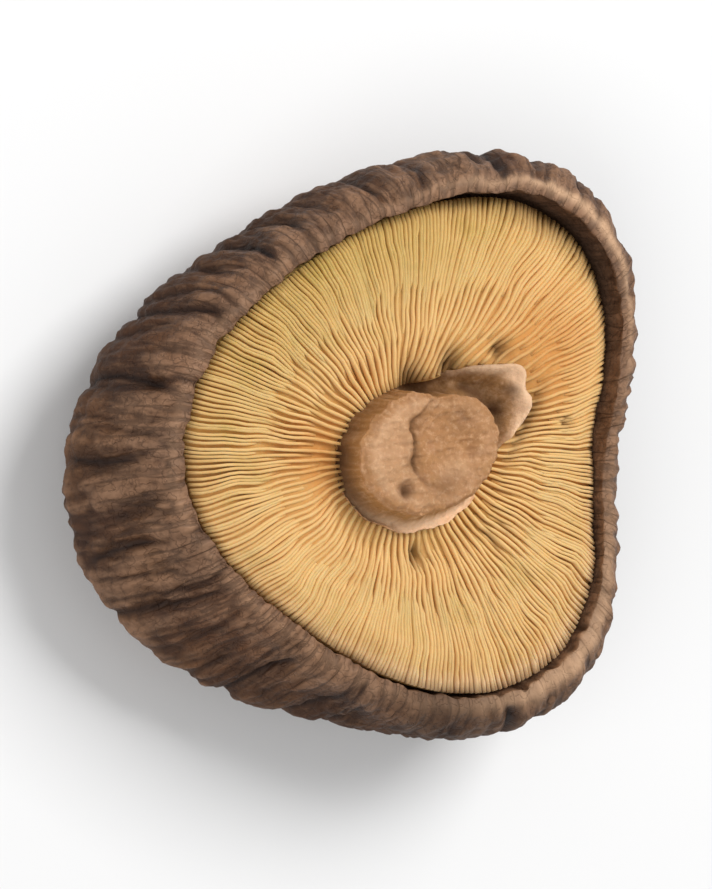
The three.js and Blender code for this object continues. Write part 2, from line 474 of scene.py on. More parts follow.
class Graph:
    """The nodes of one material."""

    MIX_FACTOR, MIX_FIRST, MIX_SECOND, MIX_COLOUR = 0, 6, 7, 2

    def __init__(self, name: str, roughness: float = 0.8, specular: float = 0.3) -> None:
        """Start a material that holds only its shader and its output.

        Args:
            name: The material's name.
            roughness: How dull it is.
            specular: How much it reflects.
        """
        self.material = bpy.data.materials.new(name)
        self.material.use_nodes = True
        self.tree = self.material.node_tree
        self.shader = next(n for n in self.tree.nodes if n.type == "BSDF_PRINCIPLED")
        self.feed(self.shader, {"Roughness": roughness, "Specular IOR Level": specular})

    def node(self, kind: str, settings: dict, sockets: dict, out: int | str = 0) -> Wire:
        """Add a node of any type.

        Args:
            kind: The node's type.
            settings: Its properties, which are set first.
            sockets: Values or wires, by the index or the name of their sockets.
            out: Which output to return.

        Returns:
            The chosen output.
        """
        made = self.tree.nodes.new(kind)
        for name, value in settings.items():
            setattr(made, name, value)
        self.feed(made, sockets)
        return Wire(self, made.outputs[out])

    def feed(self, node: bpy.types.Node, sockets: dict) -> None:
        """Link wires to a node's sockets, and set the others' own values.

        Args:
            node: The node to feed.
            sockets: Values or wires, by the index or the name of their sockets.
        """
        for key, value in sockets.items():
            if isinstance(value, Wire):
                self.tree.links.new(value.socket, node.inputs[key])
            else:
                node.inputs[key].default_value = value

    def finish(self, colour: Wire, roughness: Wire, normal: Wire) -> bpy.types.Material:
        """Feed the shader and return the finished material.

        Args:
            colour: The base colour.
            roughness: How dull it is.
            normal: The bumped normal.

        Returns:
            The material.
        """
        sockets = {"Base Color": colour, "Roughness": roughness, "Normal": normal}
        self.feed(self.shader, sockets)
        return self.material

    def translucent(self, weight: float, reach: float, spread: Triple) -> None:
        """Let light into the surface, a weight of it as far as reach millimetres."""
        sockets = {"Subsurface Weight": weight, "Subsurface Scale": reach * MM}
        self.feed(self.shader, sockets | {"Subsurface Radius": spread})

    def marks(self, *marks: Mark) -> list[Wire]:
        """Read numbers that the vertices carry."""
        kind = "ShaderNodeAttribute"
        return [self.node(kind, {"attribute_name": mark.value}, {}, "Fac") for mark in marks]

    def place(self) -> Wire:
        """Read the object's own coordinates, in metres."""
        return self.node("ShaderNodeTexCoord", {}, {}, "Object")

    def weave(self) -> Wire:
        """Read the coordinates that the vertices carry, in metres."""
        return self.node("ShaderNodeAttribute", {"attribute_name": WEAVE}, {}, "Vector")

    def stretched(self, source: Wire, stretch: Triple) -> Wire:
        """Squeeze or stretch coordinates along each axis."""
        settings = {"operation": "MULTIPLY"}
        return self.node("ShaderNodeVectorMath", settings, {0: source, 1: stretch})

    def noise(
        self, size: float, detail: float = 3.0, rough: float = 0.55, source: Wire | None = None
    ) -> Wire:
        """Add soft noise.

        Args:
            size: The width of its features, in millimetres.
            detail: How many finer layers it has.
            rough: How strong those are.
            source: Its coordinates, or None for the object's own.

        Returns:
            A value near 0.5 that is mostly between 0.25 and 0.75.
        """
        sockets = {"Vector": source or self.place(), "Scale": 1.0 / (size * MM)}
        sockets.update({"Detail": detail, "Roughness": rough})
        return self.node("ShaderNodeTexNoise", {}, sockets)

    def cracks(self, size: float, width: float, source: Wire | None = None) -> Wire:
        """Draw thin branching lines.

        Args:
            size: How far apart they are, in millimetres.
            width: How wide they are, as a share of the noise that draws them.
            source: Their coordinates, or None for the object's own.

        Returns:
            A value that is 1 along the lines and 0 elsewhere.
        """
        return abs(self.noise(size, detail=2.0, source=source) - 0.5).below(width, 1.0 / width)

    def coats(self, body: Wire | Colour, *coats: tuple[Value, Wire | Colour]) -> Wire:
        """Lay colours over a body in turn.

        Args:
            body: The colour that lies lowest.
            coats: How much each coat covers, from 0 to 1, and its colour.

        Returns:
            The mixed colour.
        """
        settings = {"data_type": "RGBA", "clamp_factor": True}
        for share, colour in coats:
            sockets = {self.MIX_FACTOR: share, self.MIX_FIRST: body, self.MIX_SECOND: colour}
            body = self.node("ShaderNodeMix", settings, sockets, self.MIX_COLOUR)
        return body

    def bump(self, height: Wire, depth: float, strength: float) -> Wire:
        """Turn a height from 0 to 1 into a normal, with its depth in millimetres."""
        sockets = {"Height": height, "Distance": depth * MM, "Strength": strength}
        return self.node("ShaderNodeBump", {}, sockets)


def shade(red: float, green: float, blue: float) -> Colour:
    """Name a colour by its linear red, green and blue."""
    return (red, green, blue, 1.0)


@dataclass(frozen=True)
class SkinFinish:
    """Dry brown skin: painted shade darkens its creases, and painted highlights make its ridges and
    its rim paler and pinker.
    """

    # deep: the colour of the painted shade in creases and hollows
    deep: Colour = shade(0.018, 0.008, 0.005)
    dark: Colour = shade(0.062, 0.026, 0.012)
    light: Colour = shade(0.205, 0.098, 0.044)
    pale: Colour = shade(0.370, 0.208, 0.122)
    rust: Colour = shade(0.170, 0.066, 0.026)
    lip: Colour = shade(0.580, 0.360, 0.215)

    def material(self) -> bpy.types.Material:
        """Build the skin's material.

        Returns:
            The material.
        """
        graph = Graph("dry_brown_skin", specular=0.2)
        hollow, rim, lip, ridge, tint = graph.marks(
            Mark.HOLLOW, Mark.RIM, Mark.LIP, Mark.EDGE, Mark.TINT
        )
        patches = graph.noise(4.0)
        streaks = graph.noise(0.55, detail=4.0, rough=0.6, source=graph.weave())
        flecks = graph.noise(0.6, detail=5.0, rough=0.65)
        wrinkles = graph.cracks(1.3, 0.06, graph.weave()) * (0.15 + rim * 0.85)
        creases = graph.cracks(2.2, 0.03) * 0.4 + graph.cracks(0.9, 0.035) * (0.2 + rim * 0.3)
        fine = (wrinkles + creases).held()
        colour = graph.coats(
            self.dark,
            ((patches + tint * 0.3).above(0.4, 2.4), self.light),
            (graph.noise(7.0).above(0.48, 4.0) * 0.6, self.rust),
            # painted shade where the skin sinks, and painted highlight on its ridges
            (ridge.below(0.55, 1.6) * 0.75, self.dark),
            (ridge.above(0.6, 2.2) * (0.1 + flecks * 0.8), self.pale),
            (streaks.above(0.5, 4.0) * (0.1 + rim * 0.3), self.pale),
            (streaks.below(0.48, 4.0) * (0.1 + rim * 0.4), self.dark),
            (flecks.above(0.55, 4.0) * 0.3, self.pale),
            (flecks.below(0.47, 5.0) * 0.6, self.dark),
            # painted shade in the fine creases
            (fine * 0.5, self.deep),
            # painted highlight along the rim's crest
            (lip * (0.35 + streaks), self.lip),
            # painted shade from the HOLLOW mark
            ((hollow * 1.15).held(), self.deep),
        )
        relief = flecks * 0.3 + graph.noise(1.5) * 0.3 + streaks * (0.1 + rim * 0.4) - fine * 0.4
        return graph.finish(colour, 0.42 + flecks * 0.35, graph.bump(relief, 0.22, 0.9))


@dataclass(frozen=True)
class GillFinish:
    """Dry gold blades: deeper towards their roots, pale along their edges, with painted shade in
    their pits and at their ends by the rim.
    """

    root: Colour = shade(0.550, 0.300, 0.100)
    body: Colour = shade(0.640, 0.360, 0.120)
    edge: Colour = shade(0.780, 0.500, 0.210)
    olive: Colour = shade(0.500, 0.330, 0.090)
    orange: Colour = shade(0.610, 0.280, 0.075)
    pale: Colour = shade(0.800, 0.540, 0.340)
    painted_shade: Colour = shade(0.105, 0.046, 0.011)

    def material(self) -> bpy.types.Material:
        """Build the gills' material.

        Returns:
            The material.
        """
        graph = Graph("dry_gold_gills", specular=0.18)
        edge, tint, warm, shaded, green, end = graph.marks(
            Mark.EDGE, Mark.TINT, Mark.WARM, Mark.HOLLOW, Mark.RIM, Mark.LIP
        )
        patches = graph.noise(3.5)
        flecks = graph.noise(0.5, detail=5.0, rough=0.6)
        colour = graph.coats(
            self.root,
            (edge, self.body),
            ((edge * 1.3 - 0.75 + tint * 0.5).held(), self.edge),
            ((warm + patches.above(0.55, 3.0) * 0.4).held() * 0.7, self.orange),
            ((patches.below(0.46, 4.0) * 0.5 + green * 0.8 - warm).held(), self.olive),
            (flecks.above(0.5, 4.0) * 0.3, self.edge),
            (flecks.below(0.45, 4.0) * 0.3, self.root),
            (end, self.pale),
            # painted shade in the pits, along the collar's shadow and at the ends by the rim
            (shaded, self.painted_shade),
        )
        graph.translucent(0.2, 0.6, (1.0, 0.5, 0.2))
        return graph.finish(colour, 0.62 + flecks * 0.25, graph.bump(flecks, 0.08, 0.6))


@dataclass(frozen=True)
class StemFinish:
    """Dry tan flesh: streaked down its side, mottled on its cut end, pale where it is torn, and
    darkened by painted shade and shadow.
    """

    # deep: the dark streaks of the fibres, and the colour of painted shade
    deep: Colour = shade(0.085, 0.034, 0.011)
    side: Colour = shade(0.425, 0.212, 0.072)
    cut: Colour = shade(0.418, 0.207, 0.086)
    pink: Colour = shade(0.490, 0.262, 0.145)
    pale: Colour = shade(0.920, 0.600, 0.370)

    def material(self) -> bpy.types.Material:
        """Build the stub's material.

        Returns:
            The material.
        """
        graph = Graph("dry_tan_stem", specular=0.22)
        hollow, cut, edge = graph.marks(Mark.HOLLOW, Mark.CUT, Mark.EDGE)
        patches = graph.noise(2.0, detail=4.0)
        flecks = graph.noise(0.4, detail=6.0, rough=0.65)
        fibres = graph.noise(0.35, detail=4.0, source=graph.stretched(graph.place(), (1, 1, 0.12)))
        colour = graph.coats(
            self.side,
            (cut, self.cut),
            (flecks.above(0.5, 4.0) * 0.4, self.pale),
            (fibres.above(0.5, 4.0) * (0.4 - cut * 0.35), self.pale),
            (fibres.below(0.45, 5.0) * (0.5 - cut * 0.4), self.deep),
            (patches.below(0.5, 4.0) * 0.5, self.side),
            (graph.noise(1.1).above(0.5, 5.0) * cut * 0.35, self.pink),
            ((edge * (0.5 + flecks)).held(), self.pale),
            # painted shade and shadow from the HOLLOW mark, with the cut end's stains
            (hollow, self.deep),
        )
        relief = graph.noise(0.3, detail=6.0, rough=0.7) * 0.6 + fibres * 0.4
        graph.translucent(0.1, 0.4, (1.0, 0.6, 0.35))
        return graph.finish(colour, 0.6 + flecks * 0.3, graph.bump(relief, 0.2, 1.0))


def add_object(name: str, data: bpy.types.ID) -> bpy.types.Object:
    """Add an object to the scene.

    Args:
        name: The object's name.
        data: Its mesh, light or camera.

    Returns:
        The new object.
    """
    made = bpy.data.objects.new(name, data)
    bpy.context.collection.objects.link(made)
    return made


def add_mesh(name: str, shape: bmesh.types.BMesh, coat: bpy.types.Material) -> bpy.types.Object:
    """Turn a shape into an object of one material.

    Args:
        name: The object's name.
        shape: Its shape, which is freed.
        coat: Its material.

    Returns:
        The new object.
    """
    data = bpy.data.meshes.new(name)
    shape.to_mesh(data)
    shape.free()
    data.materials.append(coat)
    return add_object(name, data)


class Body:
    """A mesh in the making, with the numbers that its vertices carry."""

    def __init__(self) -> None:
        """Start empty, with a layer for each mark and for the weave."""
        self.mesh = bmesh.new()
        self.layers = {mark: self.mesh.verts.layers.float.new(mark.value) for mark in Mark}
        self.weave = self.mesh.verts.layers.float_vector.new(WEAVE)

    def lathe(self, profile: Array, steps: int, cuts: int) -> None:
        """Turn a profile round the Z axis.

        Args:
            profile: Rows of radius and height, in millimetres, from axis to axis or closed.
            steps: How many times the spin copies the profile.
            cuts: How many times each of those steps is cut again.
        """
        closed = np.allclose(profile[0], profile[-1])
        rows = profile[:-1] if closed else profile
        corners = [self.mesh.verts.new((radius * MM, 0.0, height * MM)) for radius, height in rows]
        self.write({Mark.RUN: run_along(profile)}, corners)
        following = corners[1:] + corners[:1] if closed else corners[1:]
        edges = [self.mesh.edges.new(pair) for pair in zip(corners, following)]
        turn = {"cent": (0, 0, 0), "axis": (0, 0, 1), "angle": TURN, "steps": steps}
        bmesh.ops.spin(self.mesh, geom=corners + edges, use_merge=True, **turn)
        bmesh.ops.remove_doubles(self.mesh, verts=self.mesh.verts, dist=1e-4 * MM)
        if cuts:
            around = [edge for edge in self.mesh.edges if self._runs_round(edge)]
            bmesh.ops.subdivide_edges(self.mesh, edges=around, cuts=cuts, use_grid_fill=True)

    def _runs_round(self, edge: bmesh.types.BMEdge) -> bool:
        """Tell whether an edge runs round the axis, along one row of the profile."""
        run = self.layers[Mark.RUN]
        return abs(edge.verts[0][run] - edge.verts[1][run]) < 1e-5

    def values(self, mark: Mark) -> Array:
        """Read one mark of every vertex."""
        layer = self.layers[mark]
        return np.array([vertex[layer] for vertex in self.mesh.verts])

    def places(self) -> Array:
        """Give every vertex's place, as rows in millimetres."""
        return np.array([vertex.co[:] for vertex in self.mesh.verts]) / MM

    def move(self, points: Array, verts: Sequence | None = None) -> None:
        """Put every vertex, or each of some, where its row of points says, in millimetres."""
        for vertex, spot in zip(verts or self.mesh.verts, points * MM):
            vertex.co = spot

    def write(self, marks: dict[Mark, Array], verts: Sequence | None = None) -> None:
        """Give every vertex, or each of some, its values of marks.

        Args:
            marks: The values of each mark, one for each vertex.
            verts: The vertices, or None for all of them.
        """
        for mark, values in marks.items():
            layer = self.layers[mark]
            for vertex, value in zip(verts or self.mesh.verts, values):
                vertex[layer] = float(value)

    def write_weave(self, points: Array) -> None:
        """Give every vertex its coordinates for patterns, from rows in millimetres."""
        for vertex, spot in zip(self.mesh.verts, points * MM):
            vertex[self.weave] = Vector(spot)

    def finish(self, name: str, material: bpy.types.Material, slot: Slot, node: str) -> None:
        """Turn the mesh into a piece that rides on the mushroom.

        Args:
            name: The piece's name.
            material: Its finish.
            slot: The record's slot that the finish belongs to; not used.
            node: The solid that the piece stands for.
        """
        bmesh.ops.recalc_face_normals(self.mesh, faces=self.mesh.faces)
        for face in self.mesh.faces:
            face.smooth = True
        piece = add_mesh(name, self.mesh, material)
        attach(piece, "root")
        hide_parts(node)
        triangles = sum(len(face.vertices) - 2 for face in piece.data.polygons)
        LOG.info("%s: %d triangles", name, triangles)


@dataclass(frozen=True)
class Skin:
    """Where each vertex of the cap lies on the plain profile."""

    run: Array
    angle: Array
    radius: Array
    height: Array
    outside: Array


@dataclass(frozen=True)
class Pleat:
    """A pleat across the rim: its direction, the runs where it starts and ends, its depth."""

    turn: float
    start: float
    end: float
    depth: float


@dataclass
class Cap:
    """The brown cap: the dome that it lies on, its rolled rim and the recess for the gills."""

    outlines: Outlines
    girth_radius: float = 21.9
    girth_height: float = 7.0
    rest_radius: float = 6.5
    crest_radius: float = 18.2
    crest_height: float = 13.5
    lip_radius: float = 17.7
    lip_height: float = 12.6
    floor_height: float = 10.0
    girth_shift: tuple[float, float] = (-1.6, -0.7)
    girth_follows: float = 0.6
    girth_oval: Wave = Wave(2, 0.075, 30)
    rim_waves: tuple[Wave, ...] = (Wave(1, 0.55, 30), Wave(3, 0.25, 200), Wave(5, 0.18, 75))
    rim_crinkles: tuple[Ripple, Ripple] = (Ripple(0.14, 3.0, 14), Ripple(0.14, 3.6, 15))
    gape_reach: float = 0.9
    gape_shade: float = 0.4
    roll_drop: float = 0.35
    lip_closes: float = 0.3
    net_pitch: float = 3.9
    net_cells: int = 32
    net_jitter: float = 1.1
    net_depth: float = 0.8
    net_wander: tuple[Ripple, Ripple] = (Ripple(0.55, 4.5, 11), Ripple(0.55, 4.5, 12))
    net_crease: Crease = Crease(0.95, 0.22, 0.5)
    cell_step: float = 0.25
    furrow_run: float = 19.6
    furrow_depth: float = 0.9
    furrow_sway: Wave = Wave(2, 1.1, 32.7)
    furrow_wander: Ripple = Ripple(0.5, 5.0, 13)
    furrow_crease: Crease = Crease(1.05, 0.35, 0.6)
    furrow_strength: float = 0.62
    furrow_varies: Wave = Wave(3, 0.38, 90)
    pleat_count: int = 36
    pleat_from: float = 20.5
    pleat_to: float = 33.0
    pleat_depth: float = 0.62
    pleat_crease: Crease = Crease(0.85, 0.3, 0.6)
    sway: float = 0.022
    dent_depth: float = 0.35
    fine_cells: int = 760
    fine_pitch: float = 1.15
    fine_depth: float = 0.17
    fine_wander: Ripple = Ripple(0.3, 2.0, 31)
    fine_patches: Ripple = Ripple(1.0, 6.0, 32)
    fold_count: int = 150
    fold_depth: float = 0.28
    grain: tuple[Ripple, Ripple] = (Ripple(0.05, 1.1, 21), Ripple(0.09, 2.6, 22))
    # painted shade on the bottom of the rim
    dark_patch: Sector = Sector(-83, 15)
    dark_patch_shade: float = 0.5
    seed: int = 2711
    steps: int = 140
    cuts: int = 3
    finish: SkinFinish = field(default_factory=SkinFinish)

    def profile(self) -> tuple[Array, float, float]:
        """Give the profile from the flat spot over the rim to the recess.

        Returns:
            Its rows of radius and height, and the runs to its crest and to its lip.
        """
        rest, girth = (self.rest_radius, 0.0), (self.girth_radius, self.girth_height)
        crest, lip = (self.crest_radius, self.crest_height), (self.lip_radius, self.lip_height)
        dome = [rest, (2 * rest[0], 0.2), (girth[0] - 0.7, 0.28 * girth[1]), girth]
        wall = [girth, (girth[0] + 0.4, girth[1] + 2.9), (crest[0] + 1.2, crest[1]), crest]
        rim = [crest, (crest[0] - 1, crest[1]), (lip[0], lip[1] + 0.7), lip]
        flat = resample(np.array([(0.0, 0.0), rest]), 20)
        rising = np.vstack([[(0.0, 0.0)], flat, cubic(dome, 80), cubic(wall, 50)])
        outside = np.vstack([rising, cubic(rim, 14)])
        recess = [(self.lip_radius, self.floor_height), (0.0, self.floor_height)]
        crest_run, lip_run = run_along(rising)[-1], run_along(outside)[-1]
        return np.vstack([outside, recess]), crest_run, lip_run

    def build(self) -> None:
        """Model the cap and dress it."""
        body = Body()
        profile, crest_run, lip_run = self.profile()
        body.lathe(profile, self.steps, self.cuts)
        run, runs = body.values(Mark.RUN), run_along(profile)
        radius, height = read_at(run, runs, profile).T
        _, angle = polar(body.places())
        outside = run <= lip_run + 1e-4
        skin = Skin(run, angle, radius, height, outside)
        sunk, crack, tint = self._relief(skin)
        open_rim = self.outlines.gape.at(angle)
        # painted shade on the rim's inner wall past the crest, deepest where the rim gapes
        inner = (0.1 + self.gape_shade * open_rim) * smooth(0.2, 1.2, run - crest_run)
        # painted shade on the bottom of the rim's outer skin
        bottom_shade = self.dark_patch_shade * self.dark_patch.at(angle) * smooth(24.0, 29.0, run)
        dark = np.maximum.reduce([crack, inner, bottom_shade])
        body.write(
            {
                # painted shade: on the skin in creases, on the rim's inner wall and its bottom; in
                # the recess under the gills, more where the rim gapes
                Mark.HOLLOW: np.where(outside, dark, 0.2 + 0.35 * open_rim),
                # raised ridges get painted highlight, sunk skin gets painted shade
                Mark.EDGE: 1 - smooth(0.1, 0.95, sunk),
                Mark.TINT: tint,
                Mark.RIM: smooth(23.5, 29.0, run) * outside,
                # painted highlight along the rim's crest
                Mark.LIP: self._crest_highlight(run - crest_run, angle),
            }
        )
        body.write_weave(turned(22.0, angle, 0.2 * run))
        outward = self._outward(profile, runs, run) * (sunk * outside)[:, None]
        inward = np.where(outside, smooth(crest_run, lip_run, run), 1.0)
        points = self._bend(skin, outward, inward)
        points[:, :2] += self.outlines.centre
        body.move(points)
        body.finish("creased_cap", self.finish.material(), Slot.CAP, "cap")

    def _crest_highlight(self, past_crest: Array, angle: Array) -> Array:
        """Give the painted highlight along the rim's crest: most where it stands off.

        Args:
            past_crest: Each vertex's run past the crest.
            angle: Its direction.

        Returns:
            One share for each vertex.
        """
        standing = self.outlines.gape.at(angle) * bell(past_crest + 0.35, 0.4)
        rolled = 0.85 * self.outlines.roll.at(angle) * bell(past_crest - 0.1, 0.9)
        return 0.12 * bell(past_crest + 0.2, 0.5) + np.maximum(standing, rolled)

    def _outward(self, profile: Array, runs: Array, run: Array) -> Array:
        """Give the profile's outward direction at each run, as radius and height.

        Args:
            profile: Rows of radius and height.
            runs: The run to each row.
            run: The runs to give directions at.

        Returns:
            Rows of length 1.
        """
        along = read_at(run, runs, np.gradient(profile, runs, axis=0))
        along /= np.linalg.norm(along, axis=1)[:, None]
        return np.column_stack([along[:, 1], -along[:, 0]])

    def _bend(self, skin: Skin, sunk: Array, inward: Array) -> Array:
        """Bend the turned cap to its outlines.

        Args:
            skin: Where each vertex lies on the plain profile.
            sunk: How far it sinks, outwards and up.
            inward: Its share of the way from the crest (0) to the lip (1) and beyond.

        Returns:
            Rows of places from the gills' centre.
        """
        angle, height = skin.angle, skin.height
        risen = smooth(self.girth_height - 3, self.crest_height - 1, height)
        risen = np.where(skin.outside, risen, 1.0)
        swell = self.outlines.swell(angle)
        girth = 1.0 + self.girth_follows * swell + self.girth_oval.at(angle)
        stretch = girth * (1 - risen) + (1.0 + swell) * risen
        gape = self.outlines.gape.at(angle)
        pushed = self.gape_reach * gape * risen - self.lip_closes * (1 - gape) * inward
        reach = (skin.radius - sunk[:, 0]) * stretch + pushed * skin.radius / self.crest_radius
        ring = turned(18.0, angle, 0.3 * height)
        outwards, upwards = (crinkle.at(ring) for crinkle in self.rim_crinkles)
        reach += outwards * risen * (1 - inward)
        lifted = sum(wave.at(angle) for wave in self.rim_waves) + upwards
        lifted -= self.roll_drop * self.outlines.roll.at(angle)
        raised = np.maximum(0.0, height - sunk[:, 1] + lifted * risen * skin.outside)
        points = turned(reach, angle, raised)
        points[:, :2] += np.outer(1 - risen, self.girth_shift)
        return points

    def _relief(self, skin: Skin) -> tuple[Array, Array, Array]:
        """Work out the skin's creases, furrow, pleats and folds.

        Args:
            skin: Where each vertex lies on the plain profile.

        Returns:
            How deep the skin sinks, the painted shade in its creases, and each cell's own tint.
        """
        draws = Draws(self.seed)
        net, pleats = self._main_net(draws), self._pleats(draws)
        flat = turned(skin.run, skin.angle, 0.25 * skin.run)
        wander = np.column_stack([ripple.at(flat) for ripple in self.net_wander])
        gap, cells = net.gap(flat[:, :2] + wander)
        tint = np.random.default_rng(self.seed + 2).uniform(size=net.count)[cells]
        aside = skin.run - self.furrow_run - self.furrow_sway.at(skin.angle)
        aside -= self.furrow_wander.at(flat)
        on_dome = 1 - smooth(-1.5, 1.0, aside)
        strength = self.furrow_strength + self.furrow_varies.at(skin.angle)
        crease = self.net_depth * on_dome * self.net_crease.at(gap)
        furrow = self.furrow_depth * strength * self.furrow_crease.at(aside)
        pleated, pleat_crack = self._pleated(pleats, skin)
        main = np.maximum.reduce([crease, furrow, pleated])
        fine, fine_crack = self._fine_net(flat, on_dome)
        folds, fold_crack = self._folds(skin)
        away = 0.25 + 0.75 * smooth(self.rest_radius - 2.5, self.rest_radius + 1.5, skin.run)
        level = self.cell_step * (1 - tint) * on_dome * smooth(0.0, 0.9, gap)
        sunk = main + self._dents(skin) + fine + folds
        sunk += (rippled(self.grain, flat) + level + 0.1) * away
        # painted shade along the bottoms of the creases and the furrow, and more where the skin
        # sinks deeper
        cracks = [0.9 * on_dome * bell(gap, 0.15), 0.8 * strength * bell(aside, 0.22)]
        dark = np.maximum.reduce([*cracks, pleat_crack, fine_crack, fold_crack])
        return sunk, np.clip(dark + 0.2 * np.clip(main, 0, 1), 0, 1), tint * on_dome

    def _dents(self, skin: Skin) -> Array:
        """Give the depth of the broad dents in the dome and the wall.

        Args:
            skin: Where each vertex lies on the plain profile.

        Returns:
            One depth for each vertex.
        """
        rising = smooth(self.rest_radius, self.rest_radius + 5, skin.run)
        falling = 1 - smooth(self.pleat_to - 6, self.pleat_to - 2, skin.run)
        return self.dent_depth * rising * falling * (1 + np.cos(3 * skin.angle + skin.run / 5))

    def _main_net(self, draws: Draws) -> Net:
        """Lay out the part's own cells, as seeds in a sunflower, nudged.

        Args:
            draws: The part's random numbers.

        Returns:
            The net between the cells.
        """
        cells = []
        for i in range(self.net_cells):
            nudge = self.net_jitter if i else 0.0
            reach = self.net_pitch * math.sqrt(i)
            x = reach * math.cos(i * GOLDEN_TURN) + (2 * draws.next() - 1) * nudge
            y = reach * math.sin(i * GOLDEN_TURN) + (2 * draws.next() - 1) * nudge
            cells.append((x, y))
        return Net(np.array(cells))

    def _pleats(self, draws: Draws) -> list[Pleat]:
        """Draw the part's own pleats.

        Args:
            draws: The part's random numbers.

        Returns:
            The pleats, in order of direction.
        """
        pleats = []
        for i in range(self.pleat_count):
            turn = (i + 0.7 * (draws.next() - 0.5)) / self.pleat_count * TURN
            start = self.pleat_from + 2.5 * draws.next()
            end = self.pleat_to - 2.5 * draws.next()
            depth = self.pleat_depth * (0.45 + 0.75 * draws.next())
            pleats.append(Pleat(turn, start, end, depth))
        return pleats

    def _pleated(self, pleats: list[Pleat], skin: Skin) -> tuple[Array, Array]:
        """Give the depth of the main pleats, and the painted shade at their bottoms.

        Args:
            pleats: The part's pleats.
            skin: Where each vertex lies on the plain profile.

        Returns:
            How deep each vertex is, and its painted shade.
        """
        run = skin.run
        depth, crack = np.zeros_like(run), np.zeros_like(run)
        for i, pleat in enumerate(pleats):
            swayed = skin.angle + self.sway * np.sin(run / 2.4 + 1.7 * i)
            aside = turn_between(swayed, pleat.turn) * self.girth_radius
            within = smooth(pleat.start, pleat.start + 2, run)
            within *= 1 - smooth(pleat.end - 2.5, pleat.end, run)
            depth = np.maximum(depth, pleat.depth * within * self.pleat_crease.at(aside))
            darkest = 0.75 * pleat.depth / self.pleat_depth * within
            crack = np.maximum(crack, darkest * bell(aside, 0.28))
        return depth, crack

    def _fine_net(self, flat: Array, on_dome: Array) -> tuple[Array, Array]:
        """Give the depth of the fine creases between the main ones, and the painted shade in them.

        Args:
            flat: Each vertex's place on the flattened skin.
            on_dome: How far it is inside the furrow, from 0 to 1.

        Returns:
            How deep each vertex is, and its painted shade.
        """
        index = np.arange(self.fine_cells)
        cells = turned(self.fine_pitch * np.sqrt(index), index * GOLDEN_TURN)[:, :2]
        cells += np.random.default_rng(self.seed).uniform(-0.6, 0.6, cells.shape)
        wander = self.fine_wander.at(flat)
        gap, _ = Net(cells).gap(flat[:, :2] + np.column_stack([wander, -wander]))
        patchy = smooth(-0.7, 0.6, self.fine_patches.at(flat)) * (0.5 + 0.5 * on_dome)
        return self.fine_depth * patchy * bell(gap, 0.28), 0.5 * patchy * bell(gap, 0.16)

    def _folds(self, skin: Skin) -> tuple[Array, Array]:
        """Give the depth of the fine folds that cross the rim, and the painted shade in them.

        Args:
            skin: Where each vertex lies on the plain profile.

        Returns:
            How deep each vertex is, and its painted shade.
        """
        run, count = skin.run, self.fold_count
        draw = np.random.default_rng(self.seed + 1)
        turns = (np.arange(count) + draw.uniform(-0.4, 0.4, count)) / count * TURN
        deep = draw.uniform(0.2, 1.0, count)
        first, last = draw.uniform(18.5, 24.0, count), draw.uniform(27.5, 34.0, count)
        sway = self.sway * np.sin(run / 1.9 + 5 * np.sin(3 * skin.angle))
        swayed = np.mod(skin.angle + sway, TURN)
        after = np.searchsorted(turns, swayed) % count
        depth, crack = np.zeros_like(run), np.zeros_like(run)
        for pick in (after, (after - 1) % count):
            aside = turn_between(swayed, turns[pick]) * self.girth_radius
            within = smooth(0, 1.5, run - first[pick]) * (1 - smooth(-1.5, 0.5, run - last[pick]))
            depth = np.maximum(depth, deep[pick] * within * bell(aside, 0.32))
            crack = np.maximum(crack, deep[pick] * within * bell(aside, 0.2))
        return self.fold_depth * depth, 0.6 * crack


@dataclass(frozen=True)
class Tier:
    """One tier of gills: how many blades it has, where they start and how finely they bend."""

    count: int
    start: float
    segments: int


